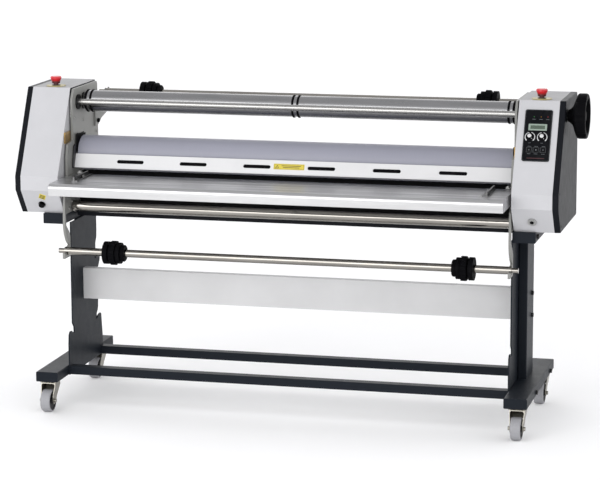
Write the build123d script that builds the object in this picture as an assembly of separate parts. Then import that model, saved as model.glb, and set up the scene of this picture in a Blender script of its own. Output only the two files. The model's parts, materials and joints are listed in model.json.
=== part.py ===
from build123d import *
import math
import os

# Cold roll laminator, 1.6 m class, on a wheeled stand.
# Millimetres. +X to the operator's right, +Y to the back, +Z up.
# Origin: on the floor, midway between the side plates and between the casters.

# ---------------------------------------------------------------- driving dimensions
# housings, as a profile in the Y-Z plane
HOUSING_IN = 814.0          # inner side of the covers, from the middle
HOUSING_OUT = 975.0         # outer side of the end covers
END_COVER_W = 21.0          # width of the dark end cover's rim
SHEET = 2.0                 # sheet metal of covers and panel
TOP_Z = 1147.0
KNEE_TOP_Z = 845.0
KNEE_LOW_Z = 794.0
BASE_Z = 705.0
FRONT_TOP_Y = -88.0
KNEE_Y = -241.0
FRONT_LOW_Y = -176.0
REAR_Y = 208.0
REAR_TOP_Y = 180.0
REAR_BEVEL_Z = 1105.0

COVER_SCREWS = ((-84.0, 1122.0), (-214.0, 846.0), (-166.0, 727.0), (186.0, 727.0), (166.0, 1122.0))
COVER_SCREW_R = 4.2

# side plates
PLATE_IN = 801.0            # inner face of the side plates
PLATE_T = 8.0
PLATE_OUT = PLATE_IN + PLATE_T
PLATE_REAR_Y = 170.0

# stand
TUBE_W = 82.0               # width of foot and top beam tubes
TUBE_H = 36.0
TUBE_WALL = 2.5
FOOT_X = 847.0              # middle of the feet
FOOT_LEN = 618.0
FOOT_Z = 112.0              # underside of the feet
BEAM_X = 850.5              # middle of the top beams
BEAM_FRONT_Y = -187.0
BEAM_REAR_Y = 165.0
BEAM_H = 38.0
POST_X0 = 806.5
POST_X1 = 838.0
POST_FRONT_Y = -14.0
POST_REAR_Y = 132.0
HOOK_PLATE_X = 801.0
HOOK_PLATE_T = 5.0
STRETCHER_W = 40.0
STRETCHER_H = 30.0
STRETCHER_Y = 168.0
PANEL_Y = -27.0
PANEL_Z0 = 363.4
PANEL_Z1 = 476.7

# casters
WHEEL_R = 40.0
WHEEL_W = 36.0
CASTER_TRAIL = 31.0
CASTER_Y = 260.0
CASTER_X = 850.0
CASTER_PLATE_T = 3.0
AXLE_R = 4.0

# nip rollers
ROLLER_Y = -20.0
ROLLER_R = 63.0
NIP_Z = 842.0
NIP_GAP = 0.4
ROLLER_HALF = 793.0         # half the sleeve length
CORE_R = 50.0
JOURNAL_R = 17.5
RUN = 0.05                  # radial running clearance
TOP_ROLLER_Z = NIP_Z + NIP_GAP / 2 + ROLLER_R
LOW_ROLLER_Z = NIP_Z - NIP_GAP / 2 - ROLLER_R
BLOCK_W = 65.2
BLOCK_H = 64.0
SLOT_W = 66.0
SLOT_TOP_Z = 977.0

# pressure gear
CROSS_Y = -47.0
CROSS_Z = 1092.0
CROSS_R = 11.0
CAM_MIN_R = 15.0
LIFT = 20.0
LIFT_ANGLE = 240.0          # handwheel angle that gives the full lift
CAM_X0 = 822.0
CAM_T = 10.0
YOKE_X0 = 820.0
YOKE_T = 14.0
WHEEL_RIM_R = 78.0
WHEEL_X0 = 1009.0
WHEEL_X1 = 1044.0

# shafts
GRIP_Y = 18.0
GRIP_Z = 1089.0
GRIP_R = 38.0
GRIP_HALF = 786.0
GRIP_GROOVE_X = (-781.0, -766.0, -11.0, 11.0, 766.0, 781.0)
SUPPLY_Y = 271.5
SUPPLY_Z = 1090.0
SHAFT_R = 14.0
TAKE_UP_Y = -187.0
TAKE_UP_Z = 570.0
IDLER_Y = -122.0
IDLER_Z = 724.0
IDLER_R = 20.0
CHUCK_R = 43.5
CHUCK_IN = {"left": 583.0, "right": 603.0}   # inner end of the chucks, from the middle
CHUCK_LEN = 77.0

# feed table, guides, guard
TABLE_TOP_Z = 840.0
TABLE_H = 42.0
TABLE_FRONT_Y = -360.0
TABLE_REAR_Y = -116.0
TABLE_HALF = 806.0
TABLE_NOTCH_Y = -182.0
TABLE_EDGE_R = 16.0
TABLE_SEAM_X = 716.0         # shallow seam across the table near each end
TABLE_RIB = 22.0            # depth of the ribs that rest on the side plates' ledges
GUARD_TOP_Y = -92.0
GUARD_TOP_Z = 910.0
GUARD_LOW_Y = -112.0
GUARD_LOW_Z = 863.0
GUARD_PIVOT_Y = -98.0
GUARD_PIVOT_Z = 932.0
GUARD_PIN_R = 4.0
GUARD_SLOTS = 6
GUARD_PITCH = 234.8
GUARD_SLOT_L = 100.0
GUARD_SLOT_H = 13.0

# drive
SPROCKET_X = 850.0
SPROCKET_T = 7.0
ROLLER_TEETH = 24
MOTOR_TEETH = 16
CHAIN_PITCH = 12.7
MOTOR_Y = 108.0
MOTOR_Z = 800.0

SIDES = {"left": -1, "right": 1}

# ---------------------------------------------------------------- helpers
parts = {}


def put(name, solid):
    """Keep a piece, or a group of separate solids, under its node name."""
    parts[name] = solid


def block(x0, x1, y0, y1, z0, z1):
    """Box between two corners."""
    box = Box(x1 - x0, y1 - y0, z1 - z0)
    return box.moved(Location(((x0 + x1) / 2, (y0 + y1) / 2, (z0 + z1) / 2)))


def rod(x0, x1, y, z, radius):
    """Round bar along X."""
    bar = Cylinder(radius, abs(x1 - x0), rotation=(0, 90, 0))
    return bar.moved(Location(((x0 + x1) / 2, y, z)))


def post(x, y, z0, z1, radius):
    """Round bar along Z."""
    return Cylinder(radius, z1 - z0).moved(Location((x, y, (z0 + z1) / 2)))


def outline(points, x0, x1):
    """Solid between x0 and x1 with a Y-Z outline."""
    wire = Polyline(*[(0, y, z) for y, z in points], close=True)
    low = min(x0, x1)
    return extrude(make_face(wire), abs(x1 - x0), dir=(1, 0, 0)).moved(Location((low, 0, 0)))


def front_outline(points, y0, y1):
    """Solid with this outline in the X-Z plane, between two Y positions."""
    face = make_face(Polyline(*[(x, y0, z) for x, z in points], close=True))
    return extrude(face, y1 - y0, dir=(0, 1, 0))


def spun(profile, y, z):
    """Solid of revolution about a line along X, from (x, radius) points."""
    wire = Polyline(*[(x, r, 0) for x, r in profile], close=True)
    return revolve(make_face(wire), Axis.X).moved(Location((0, y, z)))


def mirrored(solid):
    """The same piece for the other side of the machine."""
    return mirror(solid, about=Plane.YZ)


def both(solid):
    """A right-hand piece and its left-hand twin as separate solids."""
    return Compound(children=[*solid.solids(), *mirrored(solid).solids()])


def group(solids):
    """Separate solids kept in one node."""
    return Compound(children=[s for item in solids for s in item.solids()])


def on_side(solid, side):
    return solid if side > 0 else mirrored(solid)


def hex_bolt(x, y, z, radius, head, length):
    """Socket bolt along X: head towards +X, with a hexagon recess."""
    shank = rod(x - length, x, y, z, radius)
    cap = rod(x, x + head, y, z, radius * 1.6)
    recess = Rot(0, 90, 0) * extrude(RegularPolygon(radius * 0.8, 6), head)
    return shank + cap - recess.moved(Location((x + head * 0.5, y, z)))


def housing_profile(inset=0.0):
    """Side view of a housing, shrunk by a wall thickness."""
    points = [
        (FRONT_TOP_Y, TOP_Z),
        (KNEE_Y, KNEE_TOP_Z),
        (KNEE_Y, KNEE_LOW_Z),
        (FRONT_LOW_Y, BASE_Z),
        (REAR_Y, BASE_Z),
        (REAR_Y, REAR_BEVEL_Z),
        (REAR_TOP_Y, TOP_Z),
    ]
    face = make_face(Polyline(*[(0, y, z) for y, z in points], close=True))
    if inset:
        face = offset(face, -inset, kind=Kind.INTERSECTION)
    return face


def housing_solid(x0, x1, inset=0.0):
    return extrude(housing_profile(inset), x1 - x0, dir=(1, 0, 0)).moved(Location((x0, 0, 0)))


SLOPE_LEN = math.hypot(KNEE_Y - FRONT_TOP_Y, TOP_Z - KNEE_TOP_Z)
SLOPE_DIR = ((KNEE_Y - FRONT_TOP_Y) / SLOPE_LEN, (KNEE_TOP_Z - TOP_Z) / SLOPE_LEN)
SLOPE_OUT = (SLOPE_DIR[1], -SLOPE_DIR[0])
LOWER_LEN = math.hypot(FRONT_LOW_Y - KNEE_Y, KNEE_LOW_Z - BASE_Z)
LOWER_DIR = ((FRONT_LOW_Y - KNEE_Y) / LOWER_LEN, (BASE_Z - KNEE_LOW_Z) / LOWER_LEN)
LOWER_OUT = (LOWER_DIR[1], -LOWER_DIR[0])


def slope_plane(x, down):
    """Plane on the operator's sloped face: local X to the right, local Z outwards."""
    y = FRONT_TOP_Y + SLOPE_DIR[0] * down
    z = TOP_Z + SLOPE_DIR[1] * down
    return Plane(origin=(x, y, z), x_dir=(1, 0, 0), z_dir=(0, SLOPE_OUT[0], SLOPE_OUT[1]))


def lower_plane(x, down):
    """Plane on the lower front face, under the knee."""
    y = KNEE_Y + LOWER_DIR[0] * down
    z = KNEE_LOW_Z + LOWER_DIR[1] * down
    return Plane(origin=(x, y, z), x_dir=(1, 0, 0), z_dir=(0, LOWER_OUT[0], LOWER_OUT[1]))


def disc_on(plane, radius, low, high):
    """Round boss normal to a plane, between two heights over it."""
    return plane * Cylinder(radius, high - low).moved(Location((0, 0, (low + high) / 2)))


def slab_on(plane, width, height, low, high):
    """Rectangular boss normal to a plane."""
    return plane * Box(width, height, high - low).moved(Location((0, 0, (low + high) / 2)))


# ---------------------------------------------------------------- stand
HOOK_NOTCH_Z = 268.0
BOLT_R = 5.0
BOLT_POST_Y = 87.0
BOLT_POST_Z = (358.0, 438.0)
BOLT_FOOT_Y = (-111.0, 218.0)
BOLT_BEAM_Y = (-150.0, 120.0)


def bolt_spots():
    """Where the socket bolts enter the right-hand leg: outer face, Y and Z."""
    spots = [(POST_X1, BOLT_POST_Y, z) for z in BOLT_POST_Z]
    spots += [(FOOT_X + TUBE_W / 2, y, FOOT_Z + 14) for y in BOLT_FOOT_Y]
    spots += [(BEAM_X + TUBE_W / 2 - 0.5, y, BASE_Z - BEAM_H / 2) for y in BOLT_BEAM_Y]
    return spots


def leg(side):
    """Welded leg: foot tube, post and top beam, with closed tube ends."""
    foot = block(FOOT_X - TUBE_W / 2, FOOT_X + TUBE_W / 2, -FOOT_LEN / 2, FOOT_LEN / 2,
                 FOOT_Z, FOOT_Z + TUBE_H)
    foot = fillet(foot.edges().filter_by(Axis.Y), 4)
    hollow = block(FOOT_X - TUBE_W / 2 + TUBE_WALL, FOOT_X + TUBE_W / 2 - TUBE_WALL,
                   -FOOT_LEN / 2 + TUBE_WALL, FOOT_LEN / 2 - TUBE_WALL,
                   FOOT_Z + TUBE_WALL, FOOT_Z + TUBE_H - TUBE_WALL)
    foot = foot - hollow
    beam = block(BEAM_X - TUBE_W / 2 + 0.5, BEAM_X + TUBE_W / 2 - 0.5, BEAM_FRONT_Y, BEAM_REAR_Y,
                 BASE_Z - BEAM_H, BASE_Z)
    beam = fillet(beam.edges().filter_by(Axis.Y), 4)
    beam_hollow = block(BEAM_X - TUBE_W / 2 + 0.5 + TUBE_WALL, BEAM_X + TUBE_W / 2 - 0.5 - TUBE_WALL,
                        BEAM_FRONT_Y + TUBE_WALL, BEAM_REAR_Y - TUBE_WALL,
                        BASE_Z - BEAM_H + TUBE_WALL, BASE_Z - TUBE_WALL)
    beam = beam - beam_hollow
    upright = block(POST_X0, POST_X1, POST_FRONT_Y, POST_REAR_Y, FOOT_Z + TUBE_H, BASE_Z - BEAM_H)
    upright = fillet(upright.edges().filter_by(Axis.Z), 4)
    core = block(POST_X0 + TUBE_WALL, POST_X1 - TUBE_WALL, POST_FRONT_Y + TUBE_WALL,
                 POST_REAR_Y - TUBE_WALL, FOOT_Z + TUBE_H - 4, BASE_Z - BEAM_H + 4)
    frame = foot + beam + upright - core
    for x, y, z in bolt_spots():
        frame = frame - rod(x - 20, x + 1, y, z, BOLT_R + 0.1)
    return on_side(frame, side)


def hook_plate():
    """Inner plate of a leg, with two notches that hold spare shafts."""
    top = BASE_Z - BEAM_H
    points = [
        (-147, top), (-149, 296), (-134, HOOK_NOTCH_Z + 12), (-132, HOOK_NOTCH_Z - 6),
        (-140, HOOK_NOTCH_Z - 12), (-150, HOOK_NOTCH_Z - 6), (-162, HOOK_NOTCH_Z + 2),
        (-176, HOOK_NOTCH_Z + 1), (-186, HOOK_NOTCH_Z - 9), (-190, 225), (-190, FOOT_Z + 1),
        (178, FOOT_Z + 1), (176, 180), (164, 266), (158, 270), (146, 270), (132, 266), (120, 258),
        (110, 256), (104, 262), (110, 274), (124, 288), (130, 300), (132, 330), (138, 448),
        (156, 472), (161, 488), (156, 498), (144, 500), (130, 496), (118, 488), (108, 486),
        (98, 498), (100, 520), (108, 537), (126, 566), (128, 590), (128, top),
    ]
    plate = outline(points, HOOK_PLATE_X, HOOK_PLATE_X + HOOK_PLATE_T)
    return plate


def stretchers():
    """Two rectangular tubes that tie the feet together."""
    tubes = []
    z0 = FOOT_Z + 2
    half = HOOK_PLATE_X
    for y in (-STRETCHER_Y, STRETCHER_Y):
        tube = block(-half, half, y - STRETCHER_W / 2, y + STRETCHER_W / 2, z0, z0 + STRETCHER_H)
        tube = fillet(tube.edges().filter_by(Axis.X), 3)
        bore = block(-half - 1, half + 1, y - STRETCHER_W / 2 + TUBE_WALL,
                     y + STRETCHER_W / 2 - TUBE_WALL, z0 + TUBE_WALL, z0 + STRETCHER_H - TUBE_WALL)
        tubes.append(tube - bore)
    return group(tubes)


def stand_panel():
    """Folded panel between the legs: face, top and bottom lips and end flanges."""
    half = HOOK_PLATE_X
    lip = 30.0
    face = block(-half, half, PANEL_Y, PANEL_Y + SHEET, PANEL_Z0, PANEL_Z1)
    top = block(-half, half, PANEL_Y, PANEL_Y + lip, PANEL_Z1 - SHEET, PANEL_Z1)
    low = block(-half, half, PANEL_Y, PANEL_Y + lip, PANEL_Z0, PANEL_Z0 + SHEET)
    flange = block(half - SHEET, half, PANEL_Y, PANEL_Y + lip, PANEL_Z0, PANEL_Z1)
    return face + top + low + flange + mirrored(flange)


def stand_bolts():
    """Socket bolts through the walls of posts, feet and top beams."""
    return both(group([hex_bolt(x, y, z, BOLT_R, 7, 20) for x, y, z in bolt_spots()]))


# ---------------------------------------------------------------- casters
def caster_plate(x, y):
    """Square top plate with four screws and the swivel bearing race under it."""
    low = FOOT_Z - CASTER_PLATE_T
    plate = block(x - 33, x + 33, y - 33, y + 33, low, FOOT_Z)
    plate = fillet(plate.edges().filter_by(Axis.Z), 5)
    solid = plate + post(x, y, low - 5, low, 21) + post(x, y, low - 12, low, 5)
    solid = solid + post(x, y, low - 12, low - 9, 8)
    for i in (-1, 1):
        for j in (-1, 1):
            solid = solid + post(x + i * 26, y + j * 26, low - 4, low, 5.5)
    return solid


def caster_fork(x, y):
    """Pressed fork: raked, tapered cheeks, a crown and a short rear web, with the axle bolt."""
    top = FOOT_Z - CASTER_PLATE_T - 5.4
    axle_y = y - CASTER_TRAIL
    side = [
        (y + 22, top), (y + 24, top - 14), (axle_y + 13, WHEEL_R - 5), (axle_y + 7, WHEEL_R - 12),
        (axle_y - 7, WHEEL_R - 12), (axle_y - 14, WHEEL_R - 2), (axle_y - 14, WHEEL_R + 14),
        (y - 31, top - 12), (y - 28, top),
    ]
    front = [(27, top), (27, top - 10), (23.5, 56), (23.5, 10)]
    cavity_side = [
        (y - 70, top - 3), (y + 19.5, top - 3), (y + 21.2, top - 14), (y + 4.6, 68), (y + 50, 66),
        (y + 50, 5), (y - 70, 5),
    ]
    cavity_front = [(20, top + 3), (20, top - 3), (24.5, top - 8), (24.5, top - 11), (21, 55), (21, 5)]
    body = outline(side, x - 30, x + 30) & caster_prism(front, x, y)
    body = body - (outline(cavity_side, x - 30, x + 30) & caster_prism(cavity_front, x, y))
    body = body - post(x, y, top - 10, top + 5, 5.4)
    body = body - rod(x - 30, x + 30, axle_y, WHEEL_R, AXLE_R)
    bolt = rod(x - 24, x + 24, axle_y, WHEEL_R, AXLE_R)
    head = rod(x + 23.5, x + 30, axle_y, WHEEL_R, 7)
    nut = rod(x - 30, x - 23.5, axle_y, WHEEL_R, 7)
    return group([body, bolt + head + nut])


def caster_prism(half_front, x, y):
    """Symmetric front outline of the fork, given as its right half."""
    points = [(x + dx, z) for dx, z in half_front] + [(x - dx, z) for dx, z in reversed(half_front)]
    return front_outline(points, y - 80, y + 80)


def caster_wheel(x, y):
    """Flat-treaded tyre with a recessed hub, bored for the axle."""
    half = WHEEL_W / 2
    right = [
        (half + 2.5, AXLE_R + RUN), (half + 2.5, 9), (half - 2, 11), (half - 4, 14),
        (half - 4, WHEEL_R - 10), (half - 1, WHEEL_R - 7), (half, WHEEL_R - 4.5),
        (half - 0.8, WHEEL_R - 2), (half - 3, WHEEL_R - 0.5), (half - 6, WHEEL_R),
    ]
    profile = right + [(-dx, r) for dx, r in reversed(right)]
    return spun(profile, y - CASTER_TRAIL, WHEEL_R).moved(Location((x, 0, 0)))


# ---------------------------------------------------------------- machine frame
def side_plate():
    """Laser-cut side plate with the hook arm that carries the take-up shaft."""
    points = [
        (FRONT_TOP_Y + 4, TOP_Z - 4), (-106, 1106), (-106, 960), (-160, 951), (-172, 900),
        (-172, 796), (-204, 772), (-209, 700), (-211, 661), (-203, 632), (-187, 607), (-164, 588),
        (-172, 587), (-172, 584.4), (-187, 584.4), (-191, 584), (-200, 576), (-202, 564),
        (-206, 560), (-209, 568), (-212, 578), (-218, 577), (-219, 546), (-158, 546), (-156, 560),
        (-156, 620), (-170, 640), (-196, 664), (-198, 703), (-190, BASE_Z + 0.5),
        (PLATE_REAR_Y, BASE_Z + 0.5), (PLATE_REAR_Y, TOP_Z - 13), (PLATE_REAR_Y - 8, TOP_Z - 4),
    ]
    return outline(points, PLATE_IN, PLATE_OUT)


def take_up_notch():
    """Round-bottomed seat for the take-up shaft, open to the front."""
    seat = rod(PLATE_IN - 1, PLATE_OUT + 1, TAKE_UP_Y, TAKE_UP_Z, SHAFT_R + 0.4)
    mouth = block(PLATE_IN - 1, PLATE_OUT + 1, TAKE_UP_Y - 60, TAKE_UP_Y,
                  TAKE_UP_Z - 4, TAKE_UP_Z + SHAFT_R + 0.4)
    return seat + mouth


def right_side_plate():
    """Side plate with the bearing block's slot, its round holes and a ledge for the table."""
    plate = side_plate()
    plate = plate - take_up_notch()
    x0 = PLATE_IN - 1
    x1 = PLATE_OUT + 1
    slot = block(x0, x1, ROLLER_Y - SLOT_W / 2, ROLLER_Y + SLOT_W / 2, TOP_ROLLER_Z - BLOCK_H / 2 - 4,
                 SLOT_TOP_Z)
    plate = plate - slot
    plate = plate - rod(x0, x1, ROLLER_Y, LOW_ROLLER_Z, 26)
    plate = plate - rod(x0, x1, CROSS_Y, CROSS_Z, CROSS_R + 2)
    plate = plate - rod(x0, x1, GRIP_Y, GRIP_Z, 13)
    plate = plate - rod(x0, x1, IDLER_Y, IDLER_Z, 8 + RUN)
    plate = plate - rod(x0, x1, GUARD_PIVOT_Y, GUARD_PIVOT_Z, GUARD_PIN_R + RUN)
    ledge_top = TABLE_TOP_Z - TABLE_RIB - 0.4
    ledge = block(PLATE_IN - 12, PLATE_IN, -170, -124, ledge_top - 6, ledge_top)
    return plate + ledge


def frame_beams():
    """Wide tube under the rollers and a tie tube at the back."""
    half = PLATE_IN
    front = block(-half, half, -75, 35, 681, 708)
    front = front - block(-half - 1, half + 1, -72, 32, 684, 705)
    rear = block(-half, half, 126, 166, 760, 820)
    rear = rear - block(-half - 1, half + 1, 129, 163, 763, 817)
    return group([front, rear])


def supply_bracket():
    """Plate on the inner side that carries the rear supply shaft in an open cradle."""
    y = SUPPLY_Y
    points = [
        (126, 1040), (126, 981), (156, 983), (194, 1003), (253, 1017), (y + 17.5, 1026), (y + 17.5, 1106),
        (y + 15, 1106), (y + 14.4, SUPPLY_Z), (y - 14.4, SUPPLY_Z), (y - 15, 1106), (y - 17.5, 1106),
        (y - 20, 1062), (190, 1046),
    ]
    plate = outline(points, PLATE_IN - 6, PLATE_IN)
    return plate - rod(PLATE_IN - 7, PLATE_IN + 1, SUPPLY_Y, SUPPLY_Z, SHAFT_R + 0.4)


# ---------------------------------------------------------------- housings
def front_cover():
    """Folded cover: top, sloped front, knee, lower front, and a narrow inner side return."""
    x0 = HOUSING_IN
    x1 = HOUSING_OUT - END_COVER_W
    shell = housing_solid(x0, x1) - housing_solid(x0 - 1, x1 + 1, SHEET)
    side = housing_solid(x0, x0 + SHEET)
    keep = block(x0 - 2, x1 + 2, KNEE_Y - 5, -95, BASE_Z + 3, TOP_Z + 5)
    shell_front = block(x0 - 2, x1 + 2, KNEE_Y - 5, REAR_TOP_Y - 1, BASE_Z + SHEET, TOP_Z + 5)
    return (shell & shell_front) + (side & keep)


def rear_cover():
    """Folded cover: bottom, rear wall and rear bevel, with a row of vents low down."""
    x0 = HOUSING_IN
    x1 = HOUSING_OUT - END_COVER_W
    shell = housing_solid(x0, x1) - housing_solid(x0 - 1, x1 + 1, SHEET)
    low = block(x0 - 2, x1 + 2, KNEE_Y - 5, REAR_Y + 5, BASE_Z - 2, BASE_Z + SHEET)
    rear = block(x0 - 2, x1 + 2, REAR_TOP_Y - 1, REAR_Y + 5, BASE_Z - 2, TOP_Z + 5)
    cover = (shell & low) + (shell & rear)
    for row in range(6):
        z = 1000 + row * 12
        cover = cover - block(x0 + 30, x1 - 30, REAR_Y - 5, REAR_Y + 5, z, z + 4.5)
    return cover


def end_cover(side):
    """Dark end cover: a shallow tray with sunk screw seats, bored for the shaft on the right."""
    x0 = HOUSING_OUT - END_COVER_W
    tray = housing_solid(x0, HOUSING_OUT)
    tray = chamfer(tray.faces().sort_by(Axis.X)[-1].edges(), 2)
    tray = tray - housing_solid(x0 - 1, HOUSING_OUT - 3, 3)
    for y, z in COVER_SCREWS:
        tray = tray - rod(HOUSING_OUT - 1.6, HOUSING_OUT + 5, y, z, COVER_SCREW_R + 0.4)
    if side > 0:
        tray = tray - rod(HOUSING_OUT - 30, HOUSING_OUT + 5, CROSS_Y, CROSS_Z, CROSS_R + 2)
    return on_side(tray, side)


# ---------------------------------------------------------------- rollers
def roller_core(z, left_end, right_end):
    """Steel tube with journals at both ends."""
    half = ROLLER_HALF
    plug = half - 12
    bore = CORE_R - 9
    centre = 5.0
    profile = [
        (-left_end, centre), (-plug, centre), (-plug, bore), (plug, bore), (plug, centre),
        (right_end, centre), (right_end, JOURNAL_R), (half, JOURNAL_R), (half, CORE_R),
        (-half, CORE_R), (-half, JOURNAL_R), (-left_end, JOURNAL_R),
    ]
    return spun(profile, ROLLER_Y, z)


def roller_sleeve(z):
    """Bonded sleeve around the core."""
    half = ROLLER_HALF
    edge = 2.0
    profile = [
        (-half, CORE_R), (half, CORE_R), (half, ROLLER_R - edge), (half - edge, ROLLER_R),
        (-half + edge, ROLLER_R), (-half, ROLLER_R - edge),
    ]
    return spun(profile, ROLLER_Y, z)


def bearing_block():
    """Sliding bearing block with the lifting yoke that hangs on the cam."""
    body = block(PLATE_IN - 4, PLATE_OUT + 5, ROLLER_Y - BLOCK_W / 2, ROLLER_Y + BLOCK_W / 2,
                 TOP_ROLLER_Z - BLOCK_H / 2, TOP_ROLLER_Z + BLOCK_H / 2)
    rest = CROSS_Z + CAM_MIN_R + 1.0
    arm = block(PLATE_OUT + 0.5, PLATE_OUT + 5, -18, 3, TOP_ROLLER_Z, rest + 8)
    bridge = block(PLATE_OUT + 0.5, YOKE_X0 + YOKE_T, -9, 3, rest - 20, rest + 8)
    bar = block(YOKE_X0, YOKE_X0 + YOKE_T, -70, 3, rest, rest + 8)
    solid = body + arm + bridge + bar
    return solid - rod(PLATE_IN - 5, PLATE_OUT + 6, ROLLER_Y, TOP_ROLLER_Z, JOURNAL_R + RUN)


def bearing_flanges():
    """Round flange bearings: lower roller, cross shaft and grip shaft, on the right side."""
    low = rod(PLATE_IN - 5, PLATE_IN, ROLLER_Y, LOW_ROLLER_Z, 45)
    low = low + rod(PLATE_IN - 5, PLATE_OUT + 6, ROLLER_Y, LOW_ROLLER_Z, 25.9)
    low = low - rod(PLATE_IN - 6, PLATE_OUT + 7, ROLLER_Y, LOW_ROLLER_Z, JOURNAL_R + RUN)
    cross = rod(PLATE_IN - 5, PLATE_IN, CROSS_Y, CROSS_Z, 27)
    cross = cross + rod(PLATE_IN - 5, PLATE_OUT + 4, CROSS_Y, CROSS_Z, CROSS_R + 1.9)
    cross = cross - rod(PLATE_IN - 6, PLATE_OUT + 7, CROSS_Y, CROSS_Z, CROSS_R + RUN)
    grip = rod(PLATE_IN - 4, PLATE_IN, GRIP_Y, GRIP_Z, 30)
    grip = grip - block(PLATE_IN - 6, PLATE_IN + 1, -40, GRIP_Y - 32 + 13, GRIP_Z - 40, GRIP_Z + 40)
    grip = grip + rod(PLATE_IN - 4, PLATE_OUT + 2, GRIP_Y, GRIP_Z, 12.9)
    grip = grip - rod(PLATE_IN - 6, PLATE_OUT + 4, GRIP_Y, GRIP_Z, 10.05)
    return group([low, cross, grip])


# ---------------------------------------------------------------- pressure gear
def cross_shaft():
    """Bar that turns both cams together."""
    return rod(-(YOKE_X0 + YOKE_T + 3), WHEEL_X0 + 10, CROSS_Y, CROSS_Z, CROSS_R)


def cam():
    """Snail cam: radius grows evenly over the lifting angle, then falls back."""
    steps = 24
    gain = LIFT / LIFT_ANGLE
    points = []
    for i in range(steps + 1):
        turn = LIFT_ANGLE * i / steps
        radius = CAM_MIN_R + gain * turn
        angle = math.radians(90 - turn)
        points.append((CROSS_Y + radius * math.cos(angle), CROSS_Z + radius * math.sin(angle)))
    for turn in (270, 290, 310, 330, 345):
        angle = math.radians(90 - turn)
        points.append((CROSS_Y + CAM_MIN_R * math.cos(angle), CROSS_Z + CAM_MIN_R * math.sin(angle)))
    solid = outline(points, CAM_X0, CAM_X0 + CAM_T)
    return solid - rod(CAM_X0 - 1, CAM_X0 + CAM_T + 1, CROSS_Y, CROSS_Z, CROSS_R)


def handwheel():
    """Lobed rim on a bell-shaped back, with a hub boss inside the dish."""
    lobes = 7
    hub_end = HOUSING_OUT + 1.5
    rim = [
        (hub_end, 0), (hub_end, 20), (986, 25), (994, 33), (1000, 50), (1005, 64),
        (WHEEL_X0, 73), (WHEEL_X0 + 3, WHEEL_RIM_R - 1.5), (WHEEL_X0 + 7, WHEEL_RIM_R),
        (WHEEL_X1 - 6, WHEEL_RIM_R), (WHEEL_X1 - 1.5, WHEEL_RIM_R - 1.5), (WHEEL_X1, WHEEL_RIM_R - 5),
        (WHEEL_X1, 60), (WHEEL_X0 + 8, 54), (WHEEL_X0 + 4, 18), (WHEEL_X1 - 6, 16), (WHEEL_X1 - 6, 0),
    ]
    solid = spun(rim, CROSS_Y, CROSS_Z)
    for i in range(lobes):
        angle = 2 * math.pi * (i + 0.5) / lobes
        y = CROSS_Y + (WHEEL_RIM_R + 13) * math.cos(angle)
        z = CROSS_Z + (WHEEL_RIM_R + 13) * math.sin(angle)
        solid = solid - rod(WHEEL_X0 - 9, WHEEL_X1 + 1, y, z, 19)
    return solid - rod(HOUSING_OUT, WHEEL_X0 + 10, CROSS_Y, CROSS_Z, CROSS_R)


# ---------------------------------------------------------------- shafts and chucks
def grip_shaft():
    """Large aluminium tube with stub journals and grooves for its rubber grip rings."""
    half = GRIP_HALF
    end = PLATE_OUT + 2
    plug = half - 20
    bore = GRIP_R - 5
    profile = [
        (-end, 4), (-plug, 4), (-plug, bore), (plug, bore), (plug, 4), (end, 4), (end, 10),
        (half, 10), (half, GRIP_R), (-half, GRIP_R), (-half, 10), (-end, 10),
    ]
    tube = spun(profile, GRIP_Y, GRIP_Z)
    for x in GRIP_GROOVE_X:
        groove = spun([(x - 2, GRIP_R - 1.5), (x + 2, GRIP_R - 1.5), (x + 2, GRIP_R + 1),
                       (x - 2, GRIP_R + 1)], GRIP_Y, GRIP_Z)
        tube = tube - groove
    return tube


def plain_shaft(y, z, end):
    """Steel shaft with turned-down ends."""
    pin = 9.0
    body = end - 22
    profile = [
        (-end, 0), (end, 0), (end, pin), (body, pin), (body, SHAFT_R), (-body, SHAFT_R),
        (-body, pin), (-end, pin),
    ]
    return spun(profile, y, z)


def chuck(y, z, word):
    """Core chuck: knurled clamping collar and stepped grip discs towards the middle."""
    inner = CHUCK_IN[word]
    bore = SHAFT_R + RUN
    profile = [
        (inner, bore), (inner, 27), (inner + 3, 30), (inner + 12, 30), (inner + 12, 27),
        (inner + 15, 27), (inner + 15, 38), (inner + 29, 38), (inner + 29, 33), (inner + 32, 33),
        (inner + 32, CHUCK_R), (inner + 50, CHUCK_R), (inner + 53, CHUCK_R - 3), (inner + 57, 30),
        (inner + 60, 30), (inner + 60, CHUCK_R - 3), (inner + CHUCK_LEN, CHUCK_R - 3),
        (inner + CHUCK_LEN, bore),
    ]
    solid = spun(profile, y, z)
    flutes = 14
    for i in range(flutes):
        angle = 2 * math.pi * i / flutes
        fy = y + (CHUCK_R + 2) * math.cos(angle)
        fz = z + (CHUCK_R + 2) * math.sin(angle)
        solid = solid - rod(inner - 1, inner + CHUCK_LEN + 1, fy, fz, 5)
    return on_side(solid, SIDES[word])


def idler_roller():
    """Chrome idler with stub axles that turn in the side plates."""
    half = PLATE_IN - 3
    end = PLATE_OUT + 1
    plug = half - 10
    bore = IDLER_R - 3
    profile = [
        (-end, 3), (-plug, 3), (-plug, bore), (plug, bore), (plug, 3), (end, 3), (end, 8),
        (half, 8), (half, IDLER_R), (-half, IDLER_R), (-half, 8), (-end, 8),
    ]
    return spun(profile, IDLER_Y, IDLER_Z)


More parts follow.
